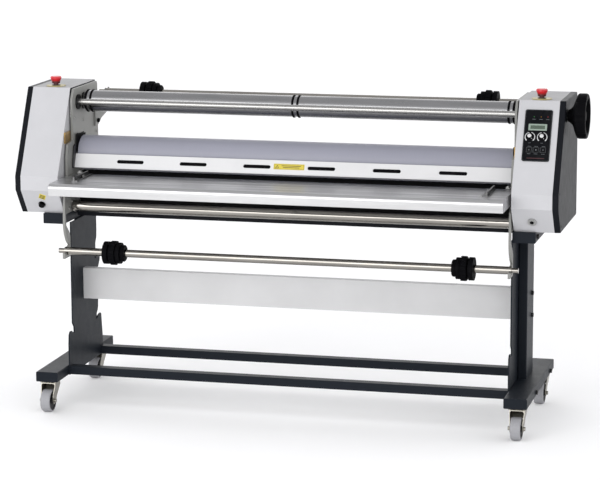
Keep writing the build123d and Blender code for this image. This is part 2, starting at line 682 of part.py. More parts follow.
# ---------------------------------------------------------------- table and guard
def feed_table():
    """Folded table with a rounded front edge, an apron, and rear corners cut back."""
    z1 = TABLE_TOP_Z
    z0 = TABLE_TOP_Z - TABLE_H
    top = block(-TABLE_HALF, TABLE_HALF, TABLE_FRONT_Y, TABLE_REAR_Y, z0, z1)
    front_top = top.edges().filter_by(Axis.X).group_by(Axis.Y)[0].sort_by(Axis.Z)[-1]
    top = fillet(front_top, TABLE_EDGE_R)
    hollow = block(-TABLE_HALF + 2, TABLE_HALF - 2, TABLE_FRONT_Y + 2, TABLE_REAR_Y + 5, z0 - 5, z1 - 14)
    hollow = hollow + block(-TABLE_HALF + 2, TABLE_HALF - 2, TABLE_FRONT_Y + 14, TABLE_REAR_Y + 5,
                            z0 - 5, z1 - 2)
    table = top - hollow
    inner = PLATE_IN - 1.5
    for side in (-1, 1):
        x0, x1 = sorted((side * inner, side * (TABLE_HALF + 5)))
        table = table - block(x0, x1, TABLE_NOTCH_Y, TABLE_REAR_Y + 5, z0 - 5, z1 + 5)
    rib_y0 = TABLE_FRONT_Y + 14
    for x in (-(inner - 2), 0, inner - 2):
        table = table + block(x - 1, x + 1, rib_y0, TABLE_REAR_Y, z1 - TABLE_RIB, z1 - 1.5)
    for x in (-TABLE_SEAM_X, TABLE_SEAM_X):
        table = table - block(x - 1, x + 1, TABLE_FRONT_Y - 1, TABLE_REAR_Y + 1, z1 - 0.8, z1 + 1)
    return table


def media_guide(side):
    """Edge guide that slides along the table."""
    x = 732.0
    y0 = -292.0
    y1 = -128.0
    z0 = TABLE_TOP_Z + 0.4
    foot = block(x - 10, x + 10, y0, y1, z0, z0 + 4)
    fence = block(x + 2, x + 8, y0 + 4, y1 - 4, z0 + 4, z0 + 15)
    knob = post(x - 3, (y0 + y1) / 2, z0 + 4, z0 + 12, 6)
    return on_side(foot + fence + knob, side)


def guard_panel():
    """Slotted guard in front of the top roller."""
    half = 795.0
    length = math.hypot(GUARD_TOP_Y - GUARD_LOW_Y, GUARD_TOP_Z - GUARD_LOW_Z)
    normal = (-(GUARD_TOP_Z - GUARD_LOW_Z) / length, (GUARD_TOP_Y - GUARD_LOW_Y) / length)
    plane = Plane(origin=(0, (GUARD_TOP_Y + GUARD_LOW_Y) / 2, (GUARD_TOP_Z + GUARD_LOW_Z) / 2),
                  x_dir=(1, 0, 0), z_dir=(0, normal[0], normal[1]))
    panel = plane * Box(2 * half, length, SHEET)
    lip = plane * Box(2 * half, SHEET, 10).moved(Location((0, -length / 2 + SHEET / 2, -4)))
    panel = panel + lip
    for i in range(GUARD_SLOTS):
        x = (i - (GUARD_SLOTS - 1) / 2) * GUARD_PITCH
        slot = extrude(SlotOverall(GUARD_SLOT_L, GUARD_SLOT_H), 10, both=True)
        panel = panel - plane * slot.moved(Location((x, 0, 0)))
    return panel


def guard_arm():
    """End arm of the guard, with its pivot pin in the side plate."""
    points = [
        (-126, 862), (-114.5, 862), (-93.5, 911), (-86, 920), (-88, 940), (-98, 944), (-110, 938),
        (-118, 905),
    ]
    arm = outline(points, 795.3, 799.8)
    pin = rod(798, PLATE_OUT + 1, GUARD_PIVOT_Y, GUARD_PIVOT_Z, GUARD_PIN_R)
    return arm + pin


# ---------------------------------------------------------------- drive and electrics
def pitch_radius(teeth):
    return CHAIN_PITCH / (2 * math.sin(math.pi / teeth))


def sprocket(y, z, teeth, bore):
    """Chain sprocket with pointed teeth and a hub."""
    tip = pitch_radius(teeth) + 2.6
    root = pitch_radius(teeth) - 3.4
    points = []
    for i in range(teeth):
        for shift, radius in ((-0.32, root), (-0.10, tip), (0.10, tip), (0.32, root)):
            angle = 2 * math.pi * (i + shift) / teeth
            points.append((y + radius * math.cos(angle), z + radius * math.sin(angle)))
    disc = outline(points, SPROCKET_X, SPROCKET_X + SPROCKET_T)
    hub = rod(SPROCKET_X - 8, SPROCKET_X + SPROCKET_T + 8, y, z, bore + 8)
    return disc + hub - rod(SPROCKET_X - 20, SPROCKET_X + 30, y, z, bore)


def drive_chain():
    """Closed chain loop that runs around both sprockets, outside their tooth tips."""
    gap = 3.2
    inner_a = pitch_radius(ROLLER_TEETH) + gap
    inner_b = pitch_radius(MOTOR_TEETH) + gap
    height = 7.0

    def loop(extra):
        a = Pos(ROLLER_Y, LOW_ROLLER_Z, 0) * Circle(inner_a + extra)
        b = Pos(MOTOR_Y, MOTOR_Z, 0) * Circle(inner_b + extra)
        return make_hull((a + b).edges())

    ring = loop(height) - loop(0)
    solid = extrude(ring, SPROCKET_T + 2)
    turned = Plane(origin=(0, 0, 0), x_dir=(0, 1, 0), z_dir=(1, 0, 0)) * solid
    return turned.moved(Location((SPROCKET_X - 1, 0, 0)))


def gear_motor():
    """Gearbox with output shaft hole, flange feet and a round motor behind it."""
    x0 = SPROCKET_X + SPROCKET_T + 10
    gearbox = block(x0, x0 + 42, MOTOR_Y - 45, MOTOR_Y + 45, MOTOR_Z - 45, MOTOR_Z + 45)
    gearbox = fillet(gearbox.edges().filter_by(Axis.X), 8)
    motor = rod(x0 + 42, HOUSING_OUT - END_COVER_W - 3, MOTOR_Y, MOTOR_Z, 42)
    foot = block(x0 + 4, x0 + 38, MOTOR_Y - 45, MOTOR_Y + 45, BASE_Z + SHEET, MOTOR_Z - 40)
    solid = gearbox + motor + foot
    return solid - rod(x0 - 1, x0 + 30, MOTOR_Y, MOTOR_Z, 8.05)


def motor_sprocket():
    """Small sprocket with the gearbox output shaft it is keyed to."""
    wheel = sprocket(MOTOR_Y, MOTOR_Z, MOTOR_TEETH, 8.0)
    shaft = rod(SPROCKET_X - 10, SPROCKET_X + SPROCKET_T + 36, MOTOR_Y, MOTOR_Z, 8.0)
    return wheel + shaft


def drive_controller():
    """Motor controller box on the inner floor of the left housing."""
    box = block(830, 940, -120, 90, BASE_Z + SHEET, 900)
    box = fillet(box.edges().filter_by(Axis.Z), 6)
    box = box - block(833, 937, -117, 87, BASE_Z + SHEET + 3, 897)
    for row in range(7):
        z = 740 + row * 18
        box = box - block(825, 836, -90, 60, z, z + 6)
    return mirrored(box)


def power_inlet():
    """Appliance inlet in the rear wall of the left housing, with three blades in its well."""
    x = INLET_X
    z = INLET_Z
    body = block(x - 17, x + 17, REAR_Y - 24, REAR_Y + 3, z - 14, z + 14)
    well = block(x - 12.5, x + 12.5, REAR_Y - 15, REAR_Y + 5, z - 9, z + 9)
    body = body - well
    for dx, dz in ((-7, -2), (7, -2), (0, 4)):
        body = body + block(x + dx - 1, x + dx + 1, REAR_Y - 15, REAR_Y - 3, z + dz - 2.5, z + dz + 2.5)
    return mirrored(body)


# ---------------------------------------------------------------- operator controls
PANEL_X = 885.5
PANEL_W = 94.0
PANEL_TOP_S = 34.0
PANEL_LOW_S = 220.0
PANEL_T = 2.5
KNOB_S = 133.0
KNOB_X = (861.0, 903.0)
BUTTON_S = 180.0
BUTTON_X = (861.5, 885.5, 910.0)
BUTTON_SIZE = 19.0
LCD_X = 885.0
LCD_S = 97.5
LCD_W = 64.0
LCD_H = 24.0
ESTOP_X = 884.0
ESTOP_Y = -42.0
KEY_X = 881.0
KEY_S = 58.0
SOCKET_X = 889.0
SOCKET_S = 67.0
INLET_X = 880.0
INLET_Z = 760.0


def control_panel():
    """Raised black panel with wells for the buttons and knob spindles, and a display recess."""
    mid = (PANEL_TOP_S + PANEL_LOW_S) / 2
    plane = slope_plane(PANEL_X, mid)
    panel = plane * Box(PANEL_W, PANEL_LOW_S - PANEL_TOP_S, PANEL_T).moved(Location((0, 0, PANEL_T / 2)))
    panel = fillet(panel.edges().filter_by(lambda e: abs(e.length - PANEL_T) < 0.01), 7)
    for x in BUTTON_X:
        panel = panel - slab_on(slope_plane(x, BUTTON_S), BUTTON_SIZE + 0.8, BUTTON_SIZE + 0.8, -1, 5)
    for x in KNOB_X:
        panel = panel - disc_on(slope_plane(x, KNOB_S), 3.5, -1, 5)
    panel = panel - slab_on(slope_plane(LCD_X, LCD_S), LCD_W, LCD_H, 1.0, 5)
    return panel


def knob(x):
    """Round knob on a spindle that passes through panel and cover."""
    plane = slope_plane(x, KNOB_S)
    solid = disc_on(plane, 3.3, -12, PANEL_T + 0.5)
    skirt = disc_on(plane, 9.5, PANEL_T + 0.4, PANEL_T + 4)
    cap = disc_on(plane, 7.0, PANEL_T + 4, PANEL_T + 14)
    return solid + skirt + cap


def push_button(x):
    """Square push button in its well."""
    plane = slope_plane(x, BUTTON_S)
    key = slab_on(plane, BUTTON_SIZE, BUTTON_SIZE, -3, PANEL_T + 3)
    stem = disc_on(plane, 3.0, -10, -3)
    return key + stem


def estop_base():
    """Yellow legend ring and collar on top of a housing."""
    disc = post(ESTOP_X, ESTOP_Y, TOP_Z, TOP_Z + 2.5, 35)
    collar = post(ESTOP_X, ESTOP_Y, TOP_Z + 2.5, TOP_Z + 5, 15)
    bore = post(ESTOP_X, ESTOP_Y, TOP_Z - 10, TOP_Z + 20, 9.4)
    return disc + collar - bore


def estop_button(side):
    """Mushroom head that flares upwards from its neck, on a stem."""
    seat = TOP_Z + 9.4
    crown = TOP_Z + 35
    profile = [
        (0, TOP_Z - 14), (9, TOP_Z - 14), (9, seat), (14.5, seat), (15.5, seat + 8), (19.5, crown - 8),
        (20, crown - 5), (19.3, crown - 2), (17.5, crown), (0, crown),
    ]
    wire = Polyline(*[(r, 0, z) for r, z in profile], close=True)
    solid = revolve(make_face(wire), Axis.Z).moved(Location((ESTOP_X, ESTOP_Y, 0)))
    return on_side(solid, side)


def key_plane():
    """On the lower front of the right housing, where the key switch sits."""
    return lower_plane(KEY_X, KEY_S)


def key_switch():
    """Bezel and body of the key switch."""
    body = disc_on(key_plane(), 9, -18, 0)
    bezel = disc_on(key_plane(), 15, 0, 6)
    return body + bezel - disc_on(key_plane(), 7.0, 1, 10)


def key_cylinder():
    """Turning plug of the key switch, with a shallow key slot."""
    plug = disc_on(key_plane(), 6.6, 1.4, 7)
    return plug - slab_on(key_plane(), 1.6, 9, 3, 9)


def pedal_socket():
    """Foot switch socket with its dust cap on, in the lower front of the left housing."""
    plane = lower_plane(SOCKET_X, SOCKET_S)
    body = disc_on(plane, 9, -15, 0)
    bezel = disc_on(plane, 13, 0, 3)
    cap = disc_on(plane, 10.5, 3, 10)
    return mirrored(body + bezel + cap)


# ---------------------------------------------------------------- cut-outs in the covers
def panel_holes():
    """Holes in the right front cover behind the controls."""
    holes = [disc_on(slope_plane(x, KNOB_S), 3.6, -10, 5) for x in KNOB_X]
    well = BUTTON_SIZE + 0.8
    holes += [slab_on(slope_plane(x, BUTTON_S), well, well, -10, 5) for x in BUTTON_X]
    holes.append(disc_on(key_plane(), 9.1, -10, 5))
    return holes


def estop_hole():
    return post(ESTOP_X, ESTOP_Y, TOP_Z - 10, TOP_Z + 5, 9.4)


# ---------------------------------------------------------------- build
put("left_leg", leg(-1))
put("right_leg", leg(1))
put("hook_plates", both(hook_plate()))
put("stretchers", stretchers())
put("stand_panel", stand_panel())
put("stand_bolts", stand_bolts())

CASTER_SPOTS = {
    "front_left": (-CASTER_X, -CASTER_Y),
    "front_right": (CASTER_X, -CASTER_Y),
    "rear_left": (-CASTER_X, CASTER_Y),
    "rear_right": (CASTER_X, CASTER_Y),
}
put("caster_plates", group([caster_plate(x, y) for x, y in CASTER_SPOTS.values()]))
for spot, (x, y) in CASTER_SPOTS.items():
    put("caster_fork_" + spot, caster_fork(x, y))
    put("caster_wheel_" + spot, caster_wheel(x, y))

put("right_side_plate", right_side_plate())
put("left_side_plate", mirrored(right_side_plate()))
put("frame_beams", frame_beams())
put("supply_brackets", both(supply_bracket()))

right_cover = front_cover() - estop_hole()
for hole in panel_holes():
    right_cover = right_cover - hole
socket_hole = disc_on(lower_plane(SOCKET_X, SOCKET_S), 9.1, -10, 5)
left_cover = mirrored(front_cover() - estop_hole() - socket_hole)
put("right_front_cover", right_cover)
put("left_front_cover", left_cover)
put("end_covers", group([end_cover(-1), end_cover(1)]))
inlet_hole = block(INLET_X - 17.1, INLET_X + 17.1, REAR_Y - 6, REAR_Y + 6, INLET_Z - 14.1, INLET_Z + 14.1)
put("rear_covers", group([rear_cover(), mirrored(rear_cover() - inlet_hole)]))

put("top_roller_core", roller_core(TOP_ROLLER_Z, PLATE_OUT + 9, PLATE_OUT + 9))
put("top_roller_sleeve", roller_sleeve(TOP_ROLLER_Z))
low_core = roller_core(LOW_ROLLER_Z, PLATE_OUT + 9, SPROCKET_X + SPROCKET_T + 10)
put("bottom_roller", group([low_core, roller_sleeve(LOW_ROLLER_Z)]))
put("roller_sprocket", sprocket(ROLLER_Y, LOW_ROLLER_Z, ROLLER_TEETH, JOURNAL_R))
put("bearing_blocks", both(bearing_block()))
put("bearing_flanges", both(bearing_flanges()))
put("cross_shaft", cross_shaft())
put("pressure_cams", both(cam()))
put("handwheel", handwheel())

put("grip_shaft", grip_shaft())
put("supply_shaft", plain_shaft(SUPPLY_Y, SUPPLY_Z, PLATE_OUT + 18))
put("take_up_shaft", plain_shaft(TAKE_UP_Y, TAKE_UP_Z, PLATE_OUT + 24))
for word in SIDES:
    put("supply_chuck_" + word, chuck(SUPPLY_Y, SUPPLY_Z, word))
    put("take_up_chuck_" + word, chuck(TAKE_UP_Y, TAKE_UP_Z, word))
put("idler_roller", idler_roller())

put("feed_table", feed_table())
for word, side in SIDES.items():
    put(word + "_guide", media_guide(side))
put("guard", group([guard_panel(), both(guard_arm())]))

put("gear_motor", gear_motor())
put("motor_sprocket", motor_sprocket())
put("drive_chain", drive_chain())
put("drive_controller", drive_controller())
put("power_inlet", power_inlet())

put("control_panel", control_panel())
for word, x in zip(("speed_knob", "count_knob"), KNOB_X):
    put(word, knob(x))
for word, x in zip(("forward_button", "stop_button", "reverse_button"), BUTTON_X):
    put(word, push_button(x))
put("estop_bases", both(estop_base()))
for word, side in SIDES.items():
    put(word + "_estop", estop_button(side))
put("front_fittings", group([key_switch(), pedal_socket()]))
put("key_cylinder", key_cylinder())

os.makedirs("parts", exist_ok=True)
for name, solid in parts.items():
    export_step(solid, "parts/" + name + ".step")
print(len(parts), "nodes")
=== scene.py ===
import json
import math

import bmesh
import bpy
from mathutils import Matrix, Vector


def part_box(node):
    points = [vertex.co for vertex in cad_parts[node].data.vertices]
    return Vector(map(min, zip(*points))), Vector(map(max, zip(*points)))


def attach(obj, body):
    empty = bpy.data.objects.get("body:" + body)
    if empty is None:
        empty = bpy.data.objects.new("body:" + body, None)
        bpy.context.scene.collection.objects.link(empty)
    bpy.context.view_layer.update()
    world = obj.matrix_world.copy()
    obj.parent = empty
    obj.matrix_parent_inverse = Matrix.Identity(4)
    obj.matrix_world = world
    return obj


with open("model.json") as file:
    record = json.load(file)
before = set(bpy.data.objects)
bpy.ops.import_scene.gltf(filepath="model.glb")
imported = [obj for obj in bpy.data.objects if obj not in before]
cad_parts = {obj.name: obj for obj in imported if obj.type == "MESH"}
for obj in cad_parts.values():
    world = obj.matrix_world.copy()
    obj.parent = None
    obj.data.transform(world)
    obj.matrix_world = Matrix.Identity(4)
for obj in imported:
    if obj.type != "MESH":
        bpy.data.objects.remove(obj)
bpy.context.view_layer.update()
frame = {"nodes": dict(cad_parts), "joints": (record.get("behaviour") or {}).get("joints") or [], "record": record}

NODES = frame["nodes"]

# The cold roll laminator's looks: a white-grey machine on a charcoal stand.
# Metres: +X along the rollers, +Y to the back, +Z up.


# ---------------------------------------------------------------- material maker
class Maker:
    """Builds one procedural material around a Principled shader."""

    def __init__(self, name, color, rough=0.5, metal=0.0, **sockets):
        self.mat = bpy.data.materials.new(name)
        self.mat.use_nodes = True
        self.tree = self.mat.node_tree
        self.shader = self.tree.nodes["Principled BSDF"]
        self.shader.inputs["Base Color"].default_value = (*color, 1)
        self.shader.inputs["Roughness"].default_value = rough
        self.shader.inputs["Metallic"].default_value = metal
        for socket, value in sockets.items():
            self.shader.inputs[socket.replace("_", " ")].default_value = value
        self.place = self.add("ShaderNodeTexCoord").outputs["Object"]

    def add(self, kind, **values):
        node = self.tree.nodes.new(kind)
        for key, value in values.items():
            setattr(node, key, value)
        return node

    def link(self, source, target):
        self.tree.links.new(source, target)

    def stretched(self, x=1.0, y=1.0, z=1.0):
        """Object coordinates scaled per axis."""
        node = self.add("ShaderNodeMapping")
        node.inputs["Scale"].default_value = (x, y, z)
        self.link(self.place, node.inputs["Vector"])
        return node.outputs["Vector"]

    def noise(self, scale, detail=3.0, rough=0.55, stretch=None):
        node = self.add("ShaderNodeTexNoise")
        node.inputs["Scale"].default_value = scale
        node.inputs["Detail"].default_value = detail
        node.inputs["Roughness"].default_value = rough
        self.link(self.stretched(*stretch) if stretch else self.place, node.inputs["Vector"])
        return node.outputs["Fac"]

    def math(self, operation, a, b=None):
        node = self.add("ShaderNodeMath", operation=operation)
        for slot, value in zip(node.inputs, (a, b)):
            if value is None:
                continue
            if isinstance(value, (int, float)):
                slot.default_value = value
            else:
                self.link(value, slot)
        return node.outputs[0]

    def span(self, value, low, high, to_low=0.0, to_high=1.0):
        """Maps a value from one range to another, clamped."""
        node = self.add("ShaderNodeMapRange", clamp=True)
        for slot, number in zip(("From Min", "From Max", "To Min", "To Max"), (low, high, to_low, to_high)):
            node.inputs[slot].default_value = number
        self.link(value, node.inputs["Value"])
        return node.outputs["Result"]

    def mix(self, factor, a, b):
        """Colour mix; a and b are colours or sockets."""
        node = self.add("ShaderNodeMix", data_type="RGBA")
        factor_in, a_in, b_in = node.inputs[0], node.inputs[6], node.inputs[7]
        for slot, value in ((factor_in, factor), (a_in, a), (b_in, b)):
            if isinstance(value, tuple):
                slot.default_value = (*value, 1)
            elif isinstance(value, (int, float)):
                slot.default_value = value
            else:
                self.link(value, slot)
        return node.outputs[2]

    def axis(self, letter):
        node = self.add("ShaderNodeSeparateXYZ")
        self.link(self.place, node.inputs[0])
        return node.outputs[letter]

    def edge(self, radius=0.0015):
        """1 on edges, 0 on flat areas."""
        bevel = self.add("ShaderNodeBevel", samples=4)
        bevel.inputs["Radius"].default_value = radius
        flat = self.add("ShaderNodeNewGeometry").outputs["Normal"]
        dot = self.add("ShaderNodeVectorMath", operation="DOT_PRODUCT")
        self.link(bevel.outputs[0], dot.inputs[0])
        self.link(flat, dot.inputs[1])
        return self.span(dot.outputs["Value"], 0.98, 0.80)

    def bump(self, height, distance, normal=None):
        node = self.add("ShaderNodeBump")
        node.inputs["Strength"].default_value = 1.0
        node.inputs["Distance"].default_value = distance
        self.link(height, node.inputs["Height"])
        if normal is not None:
            self.link(normal, node.inputs["Normal"])
        return node.outputs["Normal"]

    def set(self, socket, source):
        self.link(source, self.shader.inputs[socket])


def scaled(color, factor):
    return tuple(min(1.0, c * factor) for c in color)


def powder_coat(name, color, rough=0.42, grain=0.00012, wear=0.25, shine=0.5, second=None, where=None,
                top=1.0):
    """Powder coat: orange-peel texture, faint clouding, dust in the gloss, rubbed edges.

    A second colour is used where the mask function gives 1; top darkens the faces that look up, as painted shade
    for the less lit tops.
    """
    m = Maker(name, color, rough, Specular_IOR_Level=shine)
    cloud = m.noise(4.0, 4.0)
    speck = m.noise(900.0, 2.0)
    tone = m.mix(m.span(cloud, 0.35, 0.65), scaled(color, 0.95), scaled(color, 1.04))
    tone = m.mix(m.span(speck, 0.62, 0.78, 0.0, 0.25), tone, scaled(color, 0.8))
    if second:
        tone = m.mix(where(m), tone, second)
    # painted shade: faces whose normal points up are darkened by the top factor
    if top < 1.0:
        up = m.add("ShaderNodeSeparateXYZ")
        m.link(m.add("ShaderNodeNewGeometry").outputs["Normal"], up.inputs[0])
        tone = m.mix(m.span(up.outputs["Z"], 0.85, 0.98), tone, scaled(color, top))
    scuff = m.span(m.noise(140.0, 6.0, 0.7), 0.45, 0.7)
    rub = m.math("MULTIPLY", m.edge(), m.math("MULTIPLY", scuff, wear))
    m.set("Base Color", m.mix(rub, tone, scaled(color, 1.6)))
    m.set("Roughness", m.span(m.noise(30.0, 5.0), 0.3, 0.7, rough - 0.03, rough + 0.03))
    peel = m.bump(m.noise(420.0, 2.0), grain)
    m.set("Normal", m.bump(m.noise(1600.0, 1.0), grain * 0.4, normal=peel))
    return m.mat


def brushed(name, color, rough, along="x", depth=0.00006):
    """Metal brushed along one axis, with fine lines and slow tone changes."""
    m = Maker(name, color, rough, 1.0)
    stretch = {"x": (0.02, 1.0, 1.0), "y": (1.0, 0.02, 1.0), "turned": (1.0, 0.02, 0.02)}[along]
    lines = m.noise(1400.0, 4.0, 0.7, stretch)
    broad = m.noise(60.0, 3.0, 0.5, stretch)
    tone = m.mix(m.span(lines, 0.3, 0.7), scaled(color, 0.86), scaled(color, 1.1))
    m.set("Base Color", m.mix(m.span(broad, 0.3, 0.7, 0.0, 0.5), tone, scaled(color, 0.92)))
    m.set("Roughness", m.span(lines, 0.25, 0.75, rough - 0.06, rough + 0.1))
    m.set("Normal", m.bump(lines, depth))
    return m.mat


def polished(name, color, rough=0.1):
    """Bright bar with faint smears, hairline scratches round it and slow streaks along it."""
    m = Maker(name, color, rough, 1.0)
    smear = m.noise(9.0, 5.0, 0.6, (0.5, 3.0, 3.0))
    streak = m.noise(70.0, 3.0, 0.6, (0.05, 1.0, 1.0))
    hair = m.noise(2500.0, 2.0, 0.8, (1.0, 0.03, 0.03))
    tone = m.mix(m.span(smear, 0.35, 0.7), color, scaled(color, 0.84))
    m.set("Base Color", m.mix(m.span(streak, 0.45, 0.7, 0.0, 0.35), tone, scaled(color, 0.6)))
    m.set("Roughness", m.span(smear, 0.3, 0.75, rough * 0.7, rough * 1.9))
    m.set("Normal", m.bump(hair, 0.000006))
    return m.mat


def moulded(name, color, rough=0.45, grain=0.00008, scale=700.0, dust=0.02, second=None, where=None,
            **sockets):
    """Moulded plastic or rubber with a fine grain, dust and rubbed edges.

    A second colour is used where the mask function gives 1.
    """
    m = Maker(name, color, rough, 0.0, **sockets)
    grainy = m.noise(scale, 3.0)
    film = m.span(m.noise(18.0, 6.0, 0.65), 0.5, 0.8, 0.0, dust)
    tone = m.mix(m.span(grainy, 0.35, 0.65), scaled(color, 0.9), scaled(color, 1.12))
    if second:
        tone = m.mix(where(m), tone, second)
    tone = m.mix(film, tone, (0.25, 0.25, 0.24))
    m.set("Base Color", m.mix(m.math("MULTIPLY", m.edge(0.001), 0.25), tone, scaled(color, 2.0)))
    m.set("Roughness", m.span(m.noise(55.0, 4.0), 0.3, 0.7, rough - 0.08, rough + 0.1))
    m.set("Normal", m.bump(grainy, grain))
    return m.mat


def silicone(name, color, shine=0.35):
    """Roller sleeve: smooth, slightly clouded silicone with faint turning marks."""
    m = Maker(name, color, 0.42, 0.0, Sheen_Weight=shine * 0.25, Sheen_Roughness=0.4,
              Specular_IOR_Level=shine)
    cloud = m.noise(2.5, 5.0, 0.5, (0.6, 2.0, 2.0))
    marks = m.noise(500.0, 3.0, 0.6, (1.0, 0.01, 0.01))
    tone = m.mix(m.span(cloud, 0.3, 0.7), scaled(color, 0.94), scaled(color, 1.05))
    m.set("Base Color", m.mix(m.span(marks, 0.4, 0.8, 0.0, 0.12), tone, scaled(color, 1.25)))
    m.set("Roughness", m.span(m.noise(25.0, 5.0), 0.3, 0.7, 0.36, 0.52))
    m.set("Normal", m.bump(marks, 0.00001))
    return m.mat


def above(letter, low, high):
    """Mask function: 0 below a height or place along an axis, 1 past it."""
    return lambda m: m.span(m.axis(letter), low, high)


def past_ends(half):
    """Mask function: 1 beyond a distance from the middle, along X."""
    return lambda m: m.span(m.math("ABSOLUTE", m.axis("X")), half, half + 0.0002)


def inside_wheel(centre, radius):
    """Mask function: 1 within a radius of an axle line parallel to X."""
    def mask(m):
        away = m.add("ShaderNodeVectorMath", operation="SUBTRACT")
        m.link(m.place, away.inputs[0])
        away.inputs[1].default_value = centre
        flat = m.add("ShaderNodeVectorMath", operation="MULTIPLY")
        m.link(away.outputs[0], flat.inputs[0])
        flat.inputs[1].default_value = (0, 1, 1)
        size = m.add("ShaderNodeVectorMath", operation="LENGTH")
        m.link(flat.outputs[0], size.inputs[0])
        return m.span(size.outputs["Value"], radius + 0.0003, radius - 0.0003)
    return mask


def fitting_steel(name, color, dark):
    """Turned bezel metal on the right, black on the left."""
    m = Maker(name, color, 0.28, 1.0)
    lines = m.noise(1200.0, 3.0, 0.6)
    tone = m.mix(m.span(lines, 0.3, 0.7), scaled(color, 0.9), scaled(color, 1.08))
    m.set("Base Color", m.mix(above("X", -0.01, 0.01)(m), dark, tone))
    m.set("Roughness", m.span(lines, 0.3, 0.7, 0.22, 0.36))
    m.set("Normal", m.bump(lines, 0.00001))
    return m.mat


# Y span of the table's rolled front, which gets painted shade
FRONT_ROLL_PAINTED_SHADE = (-0.354, -0.344)


def table_sheet(name, color):
    """Satin sheet metal: a wavy top with painted dark reflection streaks and painted glints, scratches along X,
    fingerprints and a rolled front painted darker as shade.
    """
    m = Maker(name, color, 0.3, 1.0)
    wave_and_painted_streaks = m.noise(7.0, 2.0, 0.4, (0.35, 5.0, 5.0))
    lines = m.noise(900.0, 4.0, 0.7, (0.015, 1.0, 1.0))
    prints = m.span(m.noise(22.0, 6.0, 0.7), 0.52, 0.75)
    tone = m.mix(m.span(lines, 0.3, 0.7), scaled(color, 0.93), scaled(color, 1.05))
    # painted reflection: dark streaks where the wave noise is low
    tone = m.mix(m.span(wave_and_painted_streaks, 0.42, 0.52, 0.0, 0.7), scaled(color, 0.82), tone)
    # painted highlight: bright glint streaks along X
    painted_glint = m.noise(11.0, 2.0, 0.4, (0.2, 6.0, 6.0))
    tone = m.mix(m.span(painted_glint, 0.55, 0.62, 0.0, 0.6), tone, scaled(color, 1.5))
    # painted shade: the rolled front edge is darkened to tone down its highlight
    tone = m.mix(above("Y", *FRONT_ROLL_PAINTED_SHADE)(m), scaled(color, 0.78), tone)
    m.set("Base Color", m.mix(m.math("MULTIPLY", prints, 0.25), tone, scaled(color, 0.85)))
    rough = m.math("ADD", m.span(lines, 0.3, 0.75, 0.27, 0.36), m.math("MULTIPLY", prints, 0.08))
    m.set("Roughness", rough)
    m.set("Normal", m.bump(lines, 0.00001, normal=m.bump(wave_and_painted_streaks, 0.0009)))
    return m.mat


# ---------------------------------------------------------------- materials
CHARCOAL = (0.0105, 0.0130, 0.0175)
LIGHT_GREY = (0.42, 0.42, 0.435)
BLACK = (0.0035, 0.0035, 0.0042)
MAT = {
    "stand_paint": powder_coat("charcoal_powder_coat", CHARCOAL, 0.42, 0.00016, 0.5, 0.07),
    "plate_paint": powder_coat("plate_grey_paint", (0.20, 0.20, 0.19), 0.42, shine=0.3),
    # the covers' top faces get painted shade (top=0.54), darker than their fronts
    "cover_paint": powder_coat("cover_light_grey_paint", LIGHT_GREY, 0.45, shine=0.4, top=0.54),
    "end_paint": powder_coat("end_cover_black_paint", (0.007, 0.0078, 0.010), 0.40, 0.00016, 0.4, 0.05),
    "panel_paint": powder_coat("stand_panel_paint", (0.49, 0.49, 0.495), 0.45, shine=0.4),
    "zinc": brushed("zinc_plate", (0.30, 0.285, 0.25), 0.34, "x"),
    "bolt_steel": moulded("black_oxide_bolt", BLACK, 0.35, Specular_IOR_Level=0.4),
    "machined_steel": brushed("turned_steel", (0.34, 0.335, 0.325), 0.26, "turned"),
    "chrome": polished("hard_chrome", (0.31, 0.295, 0.27), 0.11),
    "aluminium": polished("satin_aluminium_tube", (0.30, 0.30, 0.305), 0.22),
    "table_aluminium": table_sheet("table_sheet_metal", (0.56, 0.56, 0.565)),
    "roller_silicone": silicone("grey_silicone", (0.235, 0.238, 0.282)),
    "roller_black": silicone("black_rubber", (0.008, 0.008, 0.0085), 0.05),
    "black_plastic": moulded("black_moulded_plastic", BLACK, 0.45, 0.00012, Specular_IOR_Level=0.01),
    "control_film": moulded("black_control_film", (0.004, 0.0043, 0.0055), 0.3, 0.00003, 1500.0,
                            Specular_IOR_Level=0.05),
    "knob_plastic": moulded("black_knob_plastic", BLACK, 0.34, 0.00005, Specular_IOR_Level=0.06),
    "chain_steel": brushed("oiled_chain_steel", (0.08, 0.075, 0.07), 0.38, "y"),
}

JOINTS = {j["name"]: j for j in frame["joints"]}
SLOT_OF = {row["node"]: row["material_slot"] for row in frame["record"]["subparts"]}
GUARD_HALF = 0.7951      # the white panel ends here, and the black end arms begin
LEGEND_TOP = 1.1496      # yellow legend plate below, black collar above
HEAD_SHADE_TOP = 1.1620       # the emergency stop head's skirt is painted dark red as shade up to here
HEAD_RED = 1.1700        # and its mushroom bright red from here up
HUB_RADIUS = 0.0345      # black wheel centre inside a grey tread

